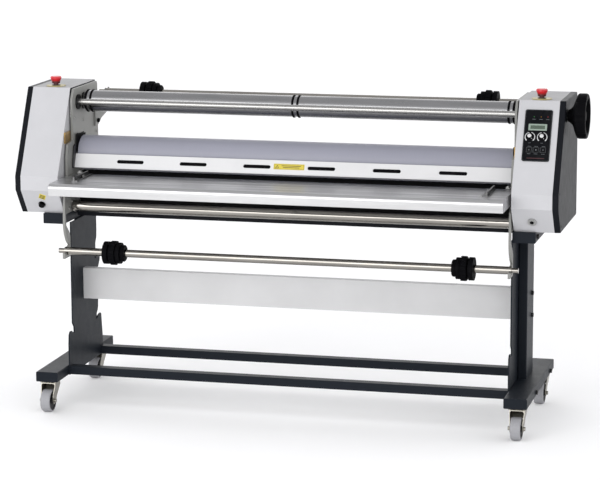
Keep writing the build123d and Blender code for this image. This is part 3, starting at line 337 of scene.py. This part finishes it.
# each node has its slot's look, apart from those with two tones or their own finish
LOOKS = {node: MAT.get(slot) for node, slot in SLOT_OF.items()}
LOOKS["guard"] = powder_coat("guard_white_paint", (0.56, 0.56, 0.565), 0.38, shine=0.4, second=BLACK,
                             where=past_ends(GUARD_HALF))
LOOKS["estop_bases"] = moulded("estop_legend_plastic", (0.33, 0.285, 0.12), 0.4, second=BLACK,
                               where=above("Z", LEGEND_TOP, LEGEND_TOP + 0.0002))
LOOKS["front_fittings"] = fitting_steel("fitting_steel", (0.50, 0.50, 0.49), BLACK)
LOOKS["key_cylinder"] = MAT["knob_plastic"]
LOOKS["left_guide"] = LOOKS["right_guide"] = brushed("guide_extrusion", (0.13, 0.13, 0.13), 0.34, "y")
LOOKS["bearing_blocks"] = LOOKS["bearing_flanges"] = brushed("blackened_steel", (0.03, 0.03, 0.03), 0.4, "y")
for node in ("left_estop", "right_estop"):
    # the skirt under the mushroom gets a painted shade of dark red
    LOOKS[node] = moulded("red_button_plastic", (0.46, 0.008, 0.016), 0.3, 0.00002,
                          second=(0.05, 0.002, 0.003), where=above("Z", HEAD_RED, HEAD_SHADE_TOP))
for node in NODES:
    if node.startswith("caster_wheel_"):
        low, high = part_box(node)
        axle = tuple((a + b) / 2 for a, b in zip(low, high))
        LOOKS[node] = moulded(node + "_rubber", (0.27, 0.27, 0.285), 0.5, second=BLACK,
                              where=inside_wheel(axle, HUB_RADIUS), Specular_IOR_Level=0.25)
for node, obj in NODES.items():
    obj.data.materials.clear()
    obj.data.materials.append(LOOKS[node])

# ---------------------------------------------------------------- places, from the record and the frame
X_AXIS = Vector((1, 0, 0))


def facing(origin, normal, across=X_AXIS):
    """Local frame on a surface: x across, z outwards."""
    z = Vector(normal).normalized()
    x = (Vector(across) - z * Vector(across).dot(z)).normalized()
    place = Matrix((x, z.cross(x), z)).transposed().to_4x4()
    place.translation = Vector(origin)
    return place


def on_joint(name, dx=0.0, down=0.0, out=0.0):
    """Local frame on the surface that a control's joint sits on, moved across, down and out."""
    joint = JOINTS[name]
    place = facing(joint["pos_m"], joint["axis"])
    return place @ Matrix.Translation((dx, -down, out))


def corner(node, x=0.0, y=0.0, z=0.0):
    """A point in a node's box, from 0 at its lowest corner to 1 at its highest."""
    low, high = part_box(node)
    return Vector((low[i] + (high[i] - low[i]) * t for i, t in enumerate((x, y, z))))


# ---------------------------------------------------------------- piece builders
def piece(name, mesh, material, body, bevel=0.0, smooth=30.0):
    """Links a bmesh as a named piece that rides on a CAD body."""
    data = bpy.data.meshes.new(name)
    bmesh.ops.recalc_face_normals(mesh, faces=mesh.faces)
    mesh.to_mesh(data)
    mesh.free()
    obj = bpy.data.objects.new(name, data)
    bpy.context.scene.collection.objects.link(obj)
    data.materials.append(material)
    if bevel:
        soft = obj.modifiers.new("edges", "BEVEL")
        soft.width = bevel
        soft.segments = 2
        soft.limit_method = "ANGLE"
        soft.angle_limit = math.radians(40)
    data.polygons.foreach_set("use_smooth", [True] * len(data.polygons))
    data.set_sharp_from_angle(angle=math.radians(smooth))
    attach(obj, body)
    return obj


def turned(mesh, place, profile, steps=32):
    """Adds a solid of revolution about the local z, from (radius, height) points."""
    rings = []
    for radius, height in profile:
        if radius < 1e-6:
            rings.append([mesh.verts.new(place @ Vector((0, 0, height)))])
            continue
        rings.append([
            mesh.verts.new(place @ Vector((radius * math.cos(a), radius * math.sin(a), height)))
            for a in (2 * math.pi * i / steps for i in range(steps))
        ])
    for one, two in zip(rings, rings[1:]):
        for i in range(steps):
            j = (i + 1) % steps
            corners = [one[i % len(one)], one[j % len(one)], two[j % len(two)], two[i % len(two)]]
            unique = list(dict.fromkeys(corners))
            if len(unique) > 2:
                mesh.faces.new(unique)
    return mesh


def slab(mesh, place, points, low, high):
    """Adds a prism with a local x-y outline between two heights."""
    bottom = [mesh.verts.new(place @ Vector((x, y, low))) for x, y in points]
    top = [mesh.verts.new(place @ Vector((x, y, high))) for x, y in points]
    mesh.faces.new(bottom[::-1])
    mesh.faces.new(top)
    count = len(points)
    for i in range(count):
        j = (i + 1) % count
        mesh.faces.new((bottom[i], bottom[j], top[j], top[i]))
    return mesh


def rectangle(width, height, cx=0.0, cy=0.0, radius=0.0, steps=4):
    """Outline of a rectangle, with rounded corners if a radius is given."""
    points = []
    for sx, sy, start in ((1, 1, 0), (-1, 1, 90), (-1, -1, 180), (1, -1, 270)):
        mx = cx + sx * (width / 2 - radius)
        my = cy + sy * (height / 2 - radius)
        if not radius:
            points.append((mx, my))
            continue
        for i in range(steps + 1):
            a = math.radians(start + 90 * i / steps)
            points.append((mx + radius * math.cos(a), my + radius * math.sin(a)))
    return points


def frame_ring(mesh, place, outer, inner, low, high):
    """Adds a flat frame between two outlines with the same number of points."""
    count = len(outer)
    loops = [[mesh.verts.new(place @ Vector((x, y, h))) for x, y in line]
             for line, h in ((outer, low), (outer, high), (inner, high), (inner, low))]
    for k in range(4):
        one, two = loops[k], loops[(k + 1) % 4]
        for i in range(count):
            j = (i + 1) % count
            mesh.faces.new((one[i], one[j], two[j], two[i]))
    return mesh


def arc_band(mesh, place, radius, thin, thick, start, end, low, high, steps=40):
    """Adds a band that widens from its start to its end, in degrees clockwise from the top."""
    outer, inner = [], []
    for i in range(steps + 1):
        t = i / steps
        a = math.radians(90 - (start + (end - start) * t))
        width = thin + (thick - thin) * t
        outer.append((math.cos(a) * (radius + width / 2), math.sin(a) * (radius + width / 2)))
        inner.append((math.cos(a) * (radius - width / 2), math.sin(a) * (radius - width / 2)))
    return slab(mesh, place, outer + inner[::-1], low, high)


def socket_screw(mesh, place, radius, height):
    """Adds a button-head screw with a round recess."""
    r, h = radius, height
    turned(mesh, place, [(r, 0), (r, h * 0.35), (r * 0.88, h * 0.75), (r * 0.62, h), (r * 0.5, h),
                         (r * 0.5, h * 0.4), (0, h * 0.4)], 24)


def add_screws(name, places, radius, height, material, body):
    mesh = bmesh.new()
    for place in places:
        socket_screw(mesh, place, radius, height)
    return piece(name, mesh, material, body)


# ---------------------------------------------------------------- stage, light and camera
def area_light(name, place, target, size, power):
    data = bpy.data.lights.new(name, "AREA")
    data.shape = "RECTANGLE"
    data.size, data.size_y = size
    data.energy = power
    lamp = bpy.data.objects.new(name, data)
    lamp.location = place
    lamp.rotation_euler = (Vector(target) - Vector(place)).to_track_quat("-Z", "Y").to_euler()
    bpy.context.scene.collection.objects.link(lamp)


def floor_sheet():
    """Pale studio floor, with a very faint mottling."""
    mesh = bpy.data.meshes.new("studio_floor")
    half = 40.0
    mesh.from_pydata([(-half, -half, 0), (half, -half, 0), (half, half, 0), (-half, half, 0)], [],
                     [(0, 1, 2, 3)])
    floor = bpy.data.objects.new("studio_floor", mesh)
    bpy.context.scene.collection.objects.link(floor)
    m = Maker("floor_paper", (0.97, 0.97, 0.97), 0.8)
    m.set("Base Color", m.mix(m.span(m.noise(1.5, 3.0), 0.3, 0.7), (0.96, 0.96, 0.96), (0.98, 0.98, 0.98)))
    mesh.materials.append(m.mat)


SURROUND_STRENGTH = 1.85
SOFTBOX_WATTS = 110


def studio_world():
    """White surround: brightest in front and near the horizon, greyer overhead."""
    world = bpy.data.worlds.new("studio")
    bpy.context.scene.world = world
    world.use_nodes = True
    tree = world.node_tree
    back = tree.nodes["Background"]
    where = tree.nodes.new("ShaderNodeTexCoord").outputs["Generated"]
    split = tree.nodes.new("ShaderNodeSeparateXYZ")
    tree.links.new(where, split.inputs[0])
    ramp = tree.nodes.new("ShaderNodeValToRGB")
    tree.links.new(split.outputs["Z"], ramp.inputs[0])
    stops = ramp.color_ramp.elements
    stops[0].position, stops[0].color = 0.05, (1, 1, 1, 1)
    stops[1].position, stops[1].color = 0.75, (0.42, 0.42, 0.43, 1)
    middle = stops.new(0.30)
    middle.color = (0.95, 0.95, 0.96, 1)
    tree.links.new(ramp.outputs["Color"], back.inputs["Color"])
    back.inputs["Strength"].default_value = SURROUND_STRENGTH


CAMERA_AT = (2.12238, -8.23597, 2.19603)
CAMERA_RIGHT = Vector((0.96892, 0.24734, -0.00449))
CAMERA_UP = Vector((-0.04110, 0.17884, 0.98302))
LENS_MM = 144.86


def set_camera():
    """A standing view from the front, a little above and to the right."""
    back = CAMERA_RIGHT.cross(CAMERA_UP)
    data = bpy.data.cameras.new("camera")
    data.lens = LENS_MM
    data.sensor_width = 36.0
    data.clip_end = 100.0
    camera = bpy.data.objects.new("camera", data)
    basis = Matrix((CAMERA_RIGHT, CAMERA_UP, back)).transposed().to_4x4()
    basis.translation = Vector(CAMERA_AT)
    camera.matrix_world = basis
    bpy.context.scene.collection.objects.link(camera)
    bpy.context.scene.camera = camera


floor_sheet()
studio_world()
set_camera()
area_light("front_softbox", (-1.5, -5.0, 2.2), (0, 0, 0.8), (4.0, 3.0), SOFTBOX_WATTS)
bpy.context.scene.view_settings.view_transform = "Standard"


# ---------------------------------------------------------------- grip shaft rings
def ring_about_x(mesh, x, y, z, section, steps=48):
    """Adds a closed ring round an X-parallel line, from (offset, radius) section points."""
    place = Matrix.Translation((x, y, z)) @ Matrix.Rotation(math.radians(90), 4, "Y")
    rings = []
    for offset, radius in section:
        rings.append([
            mesh.verts.new(place @ Vector((radius * math.cos(a), radius * math.sin(a), offset)))
            for a in (2 * math.pi * i / steps for i in range(steps))
        ])
    for one, two in zip(rings, rings[1:] + rings[:1]):
        for i in range(steps):
            j = (i + 1) % steps
            mesh.faces.new((one[i], one[j], two[j], two[i]))


def round_section(half_width, low, high, steps=6):
    """A section that is flat underneath and half round on top."""
    points = [(-half_width, low), (half_width, low)]
    for i in range(steps + 1):
        a = math.pi * i / steps
        points.append((half_width * math.cos(a), high - half_width + half_width * math.sin(a)))
    return points


GRIP_AXIS = JOINTS["grip_shaft_spin"]["pos_m"]
RING_X = (0.0095, 0.764, 0.782)
mesh = bmesh.new()
for ring_x in RING_X:
    for side in (-1, 1):
        ring_about_x(mesh, side * ring_x, GRIP_AXIS[1], GRIP_AXIS[2], round_section(0.0046, 0.0366, 0.0412))
piece("grip_rings", mesh, MAT["black_plastic"], "grip")

# ---------------------------------------------------------------- operator panel
PANEL_T = 0.0025
PRINT_LOW = 0.00004
PRINT_TOP = 0.00016
LABEL_TOP = 0.00022
MARK_TOP = 0.00030
INK = moulded("white_panel_ink", (0.50, 0.51, 0.51), 0.5, 0.00001)
FAINT_INK = moulded("grey_panel_ink", (0.085, 0.095, 0.10), 0.5, 0.00001)
RED_INK = moulded("dark_red_panel_ink", (0.05, 0.008, 0.011), 0.5, 0.00001)
SILVER = brushed("knob_cap_aluminium", (0.72, 0.72, 0.72), 0.30, "x", 0.00001)
LENS_FRAME = moulded("display_frame_plastic", (0.20, 0.25, 0.21), 0.4, 0.00002)


def lcd_glass():
    """Green-grey reflective display with a fine dot grid."""
    m = Maker("display_glass", (0.05, 0.075, 0.053), 0.12, 0.0, Coat_Weight=0.6, Coat_Roughness=0.04)
    grid = m.noise(2600.0, 1.0)
    m.set("Base Color", m.mix(m.span(grid, 0.4, 0.6), (0.044, 0.07, 0.047), (0.058, 0.087, 0.06)))
    return m.mat


SPEED = "speed_knob_turn"
COUNT = "count_knob_turn"
KNOB_X = JOINTS[SPEED]["pos_m"][0]
KNOB_S = 0.133


def on_slope(x, s, out=0.0):
    """Local frame on the sloped face, at an X and a distance down from its top edge."""
    return on_joint(SPEED, x - KNOB_X, s - KNOB_S, out)


LCD = on_slope(0.885, 0.0975)
LCD_BASE = 0.0011
LCD_GLASS = 0.0020
mesh = bmesh.new()
frame_ring(mesh, LCD, rectangle(0.0636, 0.0236, radius=0.0015), rectangle(0.050, 0.0130, radius=0.0008),
           LCD_BASE, 0.0030)
piece("display_frame", mesh, LENS_FRAME, "frame", 0.0004)
mesh = bmesh.new()
slab(mesh, LCD, rectangle(0.0502, 0.0132, radius=0.0008), LCD_BASE, LCD_GLASS)
piece("display_glass", mesh, lcd_glass(), "frame")

SEGMENTS = {"0": "abcdef", "2": "abged", "5": "afgcd", "8": "abcdefg"}


def digit(mesh, place, char, cx, cy, w=0.0032, h=0.0074, t=0.0008):
    """Adds a seven-segment digit as thin slabs."""
    bars = {
        "a": (0, h / 2, w, t), "g": (0, 0, w, t), "d": (0, -h / 2, w, t),
        "f": (-w / 2, h / 4, t, h / 2), "b": (w / 2, h / 4, t, h / 2),
        "e": (-w / 2, -h / 4, t, h / 2), "c": (w / 2, -h / 4, t, h / 2),
    }
    for name in SEGMENTS[char]:
        dx, dy, bw, bh = bars[name]
        slab(mesh, place, rectangle(bw, bh, cx + dx, cy + dy), LCD_GLASS, LCD_GLASS + 0.00006)


mesh = bmesh.new()
for i, char in enumerate("0250"):
    digit(mesh, LCD, char, -0.011 + 0.0075 * i, 0.0)
piece("display_digits", mesh, moulded("display_ink", (0.02, 0.03, 0.022), 0.4), "frame")

DIAL_RADIUS = 0.0165
RIBS = 20
POINTER_DEG = -48
mesh = bmesh.new()
for name in (SPEED, COUNT):
    place = on_joint(name, out=PANEL_T)
    for way in (-1, 1):
        arc_band(mesh, place, DIAL_RADIUS, 0.0014, 0.0034, way * 12, way * 140, 0.00005, MARK_TOP)
piece("knob_dials", mesh, INK, "frame")

for name, body in ((SPEED, "speed_knob"), (COUNT, "count_knob")):
    place = on_joint(name, out=PANEL_T)
    mesh = bmesh.new()
    turned(mesh, place, [(0, 0.0139), (0.0068, 0.0139), (0.0068, 0.0146), (0.0062, 0.0151), (0, 0.0153)])
    piece(body + "_cap", mesh, SILVER, body)
    mesh = bmesh.new()
    for i in range(RIBS):
        a = 2 * math.pi * i / RIBS
        spot = place @ Matrix.Rotation(a, 4, "Z") @ Matrix.Translation((0.0069, 0, 0))
        slab(mesh, spot, rectangle(0.0012, 0.0010), 0.0042, 0.0132)
    piece(body + "_ribs", mesh, MAT["knob_plastic"], body, 0.0002)
    mesh = bmesh.new()
    pointer = place @ Matrix.Rotation(math.radians(POINTER_DEG), 4, "Z") @ Matrix.Translation((0.0085, 0, 0))
    turned(mesh, pointer, [(0, 0.0039), (0.0015, 0.0039), (0.0015, 0.0044), (0, 0.0046)], 16)
    piece(body + "_pointer", mesh, INK, body)

BUTTONS = ("forward_button", "stop_button", "reverse_button")
ICONS = {
    "forward_button": [(-0.0028, -0.0018), (0.0028, -0.0018), (0.0, 0.0026)],
    "stop_button": rectangle(0.0044, 0.0044),
    "reverse_button": [(-0.0028, 0.0018), (0.0, -0.0026), (0.0028, 0.0018)],
}
BUTTON_S = 0.180
BUTTON_TOP = PANEL_T + 0.003
RIM = moulded("button_rim_plastic", (0.022, 0.025, 0.028), 0.4, 0.00003)
for name in BUTTONS:
    middle = corner(name, 0.5, 0.5, 0.5)
    face = on_slope(middle.x, BUTTON_S, BUTTON_TOP)
    mesh = bmesh.new()
    slab(mesh, face, ICONS[name], 0.00002, 0.0002)
    piece(name + "_icon", mesh, FAINT_INK, name)
    mesh = bmesh.new()
    frame_ring(mesh, face, rectangle(0.0188, 0.0188, radius=0.001), rectangle(0.0160, 0.0160, radius=0.001),
               0.0, 0.0006)
    piece(name + "_rim", mesh, RIM, name, 0.0002)

PANEL_X = 0.8855
BUTTON_GAPS = (0.8735, 0.898)
mesh = bmesh.new()
film = on_slope(PANEL_X, 0.127, PANEL_T)
frame_ring(mesh, film, rectangle(0.0905, 0.1825, radius=0.0062), rectangle(0.0895, 0.1815, radius=0.0058),
           PRINT_LOW, PRINT_TOP)
for x in BUTTON_GAPS:
    slab(mesh, on_slope(x, BUTTON_S, PANEL_T), rectangle(0.0005, 0.019), PRINT_LOW, PRINT_TOP)
LED_S = 0.060
LED_X = (0.870, 0.894, 0.917)
DASHES = [(x, LED_S + 0.009, 0.011) for x in LED_X]
DASHES += [(JOINTS[name]["pos_m"][0], KNOB_S + 0.0215, 0.008) for name in (SPEED, COUNT)]
DASHES += [(corner(name, 0.5).x, BUTTON_S + ds, 0.012) for name in BUTTONS for ds in (-0.0135, 0.0135)]
for x, down, width in DASHES:
    slab(mesh, on_slope(x, down, PANEL_T), rectangle(width, 0.0013), PRINT_LOW, PRINT_TOP)
piece("panel_lines", mesh, FAINT_INK, "frame")
mesh = bmesh.new()
slab(mesh, on_slope(PANEL_X, 0.209, PANEL_T), rectangle(0.060, 0.0022), 0.00004, 0.00018)
piece("panel_stripe", mesh, RED_INK, "frame")

LED_COLORS = {"green": (0.02, 0.16, 0.03), "amber": (0.2, 0.1, 0.01), "red": (0.2, 0.012, 0.015)}
for (word, tint), x in zip(LED_COLORS.items(), LED_X):
    mesh = bmesh.new()
    lens = [(0.0016, 0), (0.0015, 0.0006), (0.0010, 0.0011), (0, 0.0013)]
    turned(mesh, on_slope(x, LED_S, PANEL_T), lens, 20)
    piece("led_" + word, mesh, moulded("led_lens_" + word, tint, 0.2, 0.00001), "frame")

# ---------------------------------------------------------------- labels, generic and blank
LABEL = moulded("yellow_label_vinyl", (0.52, 0.42, 0.03), 0.45, 0.00002)
LABEL_EDGE = moulded("label_border_ink", (0.008, 0.008, 0.008), 0.5, 0.00001)
GUARD_FACE_TOP = Vector((0, -0.092, 0.910))
GUARD_FACE_LOW = Vector((0, -0.112, 0.863))
guard_normal = (GUARD_FACE_LOW - GUARD_FACE_TOP).cross(X_AXIS)
if guard_normal.y > 0:
    guard_normal = -guard_normal
guard_mid = (GUARD_FACE_TOP + GUARD_FACE_LOW) / 2
mesh = bmesh.new()
slab(mesh, facing(guard_mid, guard_normal), rectangle(1.588, 0.047, 0.0, 0.0008), -0.0034, -0.0012)
piece("guard_backing", mesh, MAT["black_plastic"], "guard")
GUARD = facing(guard_mid, guard_normal) @ Matrix.Translation((0.0, 0.0025, 0.001))
mesh = bmesh.new()
slab(mesh, GUARD, rectangle(0.112, 0.021, radius=0.001), PRINT_LOW, LABEL_TOP)
piece("guard_label", mesh, LABEL, "guard")
mesh = bmesh.new()
frame_ring(mesh, GUARD, rectangle(0.108, 0.0175, radius=0.0008), rectangle(0.1065, 0.0160, radius=0.0006),
           LABEL_TOP, MARK_TOP)
SIGN_OUTER = [(-0.050, -0.0058), (-0.036, -0.0058), (-0.043, 0.0062)]
SIGN_INNER = [(-0.0475, -0.0043), (-0.0385, -0.0043), (-0.043, 0.0034)]
frame_ring(mesh, GUARD, SIGN_OUTER, SIGN_INNER, LABEL_TOP, MARK_TOP)
for dy, width in ((0.0032, 0.070), (-0.0028, 0.060)):
    slab(mesh, GUARD, rectangle(width, 0.0022, 0.008, dy), LABEL_TOP, MARK_TOP)
piece("guard_label_border", mesh, LABEL_EDGE, "guard")

KEY = JOINTS["key_turn"]
KNEE_TO_KEY = 0.058
lower_normal = Vector(KEY["axis"])
lower_down = Vector((0, -lower_normal.z, lower_normal.y))
if lower_down.z > 0:
    lower_down = -lower_down


def on_lower(x, s, out=0.0):
    """Local frame on a housing's lower front face, by X and distance down from the knee."""
    place = Vector((x, KEY["pos_m"][1], KEY["pos_m"][2])) + lower_down * (s - KNEE_TO_KEY)
    return facing(place, lower_normal) @ Matrix.Translation((0, 0, out))


# a small square label near the foot switch socket, stuck on askew
TAG = on_lower(-0.880, 0.030) @ Matrix.Rotation(math.radians(-24), 4, "Z")
mesh = bmesh.new()
slab(mesh, TAG, rectangle(0.024, 0.024, radius=0.0008), PRINT_LOW, LABEL_TOP)
piece("socket_label", mesh, LABEL, "frame")
mesh = bmesh.new()
for dy in (-0.008, -0.0015, 0.005):
    slab(mesh, TAG, rectangle(0.019, 0.0034, 0.0, dy), LABEL_TOP, MARK_TOP)
piece("socket_label_bars", mesh, LABEL_EDGE, "frame")

# ---------------------------------------------------------------- fasteners and small fittings
BRASS = brushed("brass_block", (0.34, 0.22, 0.08), 0.34, "y", 0.00003)
INNER_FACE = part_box("frame_beams")[1].x
# (y, z) on both side plates
PLATE_SCREWS = ((-0.086, 1.040), (0.008, 1.020), (-0.164, 0.722), (-0.131, 0.742), (0.150, 0.960))


def inner_wall(side, y, z, x=INNER_FACE):
    """Local frame on a side plate's inner face."""
    return facing((side * x, y, z), (-side, 0, 0), (0, side, 0))


places = [inner_wall(side, y, z) for side in (-1, 1) for y, z in PLATE_SCREWS]
add_screws("side_plate_screws", places, 0.0055, 0.0030, MAT["machined_steel"], "frame")

# bent black shields beside the upper roller's ends, as (y, z) from its axis
TOP_AXIS = JOINTS["top_roller_spin"]["pos_m"]
SHIELD_X = 0.7937
SHIELD = ((-0.068, 0.010), (-0.068, 0.074), (-0.060, 0.077), (-0.008, 0.071), (0.030, 0.068), (0.030, 0.052),
          (-0.030, 0.052), (-0.052, 0.030), (-0.058, 0.010))
for side, word in ((-1, "left"), (1, "right")):
    mesh = bmesh.new()
    wall = facing((side * SHIELD_X, TOP_AXIS[1], TOP_AXIS[2]), (side, 0, 0), (0, side, 0))
    slab(mesh, wall, [(side * y, z) for y, z in SHIELD], 0.0, 0.0010)
    piece("roller_shield_" + word, mesh, MAT["black_plastic"], "frame", 0.0002)

CROSS = JOINTS["handwheel_turn"]["pos_m"]
LOW_ROLLER = JOINTS["bottom_roller_spin"]["pos_m"]
FLANGE_T = 0.005
FLANGES = ((CROSS, 0.0195, 30), (LOW_ROLLER, 0.038, 45))  # centre, screw circle radius, first screw's angle
places = []
for side in (-1, 1):
    for (_, y, z), pitch, turn in FLANGES:
        for k in range(3):
            a = math.radians(turn + 120 * k)
            dy, dz = pitch * math.cos(a), pitch * math.sin(a)
            places.append(inner_wall(side, y + dy, z + dz, INNER_FACE - FLANGE_T))
add_screws("bearing_screws", places, 0.0032, 0.0022, MAT["bolt_steel"], "frame")

# brass stops with three studs behind the front covers, and the clamping knobs of the rear brackets
STOP_AT = (0.8117, -0.137, 0.9745)
CLAMP_KNOB = ((0.004, 0), (0.004, 0.004), (0.0065, 0.005), (0.008, 0.0075), (0.008, 0.011),
              (0.0065, 0.0135), (0, 0.0142))
for side, word in ((-1, "left"), (1, "right")):
    mesh = bmesh.new()
    block = facing((side * STOP_AT[0], *STOP_AT[1:]), (0, -1, 0))
    slab(mesh, block, rectangle(0.0044, 0.040), -0.030, 0.028)
    for dz in (-0.012, 0.0, 0.012):
        spot = block @ Matrix.Translation((0, dz, 0.028))
        turned(mesh, spot, [(0.0019, 0), (0.0019, 0.0012), (0.0012, 0.0018), (0, 0.0018)], 12)
    piece("brass_stop_" + word, mesh, BRASS, "frame", 0.0004)
    mesh = bmesh.new()
    spot = inner_wall(side, 0.150, 0.999)
    turned(mesh, spot, CLAMP_KNOB, 24)
    piece("bracket_knob_" + word, mesh, MAT["black_plastic"], "frame")

rear_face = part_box("rear_covers")[1].y
places = []
for side in (-1, 1):
    for x in (0.832, 0.937):
        for z in (0.722, 0.905, 1.085):
            places.append(facing((side * x, rear_face, z), (0, 1, 0)))
add_screws("rear_cover_screws", places, 0.0045, 0.0024, MAT["bolt_steel"], "frame")

# the end covers' screws sit in sunk seats; places are (y, z)
SEAT_DEPTH = 0.0016
COVER_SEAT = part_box("end_covers")[1].x - SEAT_DEPTH
COVER_SCREWS = ((-0.084, 1.122), (-0.214, 0.846), (-0.166, 0.727), (0.186, 0.727), (0.166, 1.122))
places = [inner_wall(-side, y, z, COVER_SEAT) for side in (-1, 1) for y, z in COVER_SCREWS]
add_screws("end_cover_screws", places, 0.0042, 0.0015, MAT["bolt_steel"], "frame")

# small white stops on the table, under the guard's ends
STOP_WHITE = moulded("white_stop_plastic", (0.38, 0.38, 0.37), 0.4, 0.00004)
for side, word in ((-1, "left"), (1, "right")):
    mesh = bmesh.new()
    base = facing((side * 0.780, -0.100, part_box("feed_table")[1].z + 0.0008), (0, 0, 1))
    slab(mesh, base, rectangle(0.016, 0.022, radius=0.004), 0.0, 0.003)
    slab(mesh, base, rectangle(0.009, 0.019, radius=0.003), 0.003, 0.008)
    piece("table_stop_" + word, mesh, STOP_WHITE, "table", 0.0008)
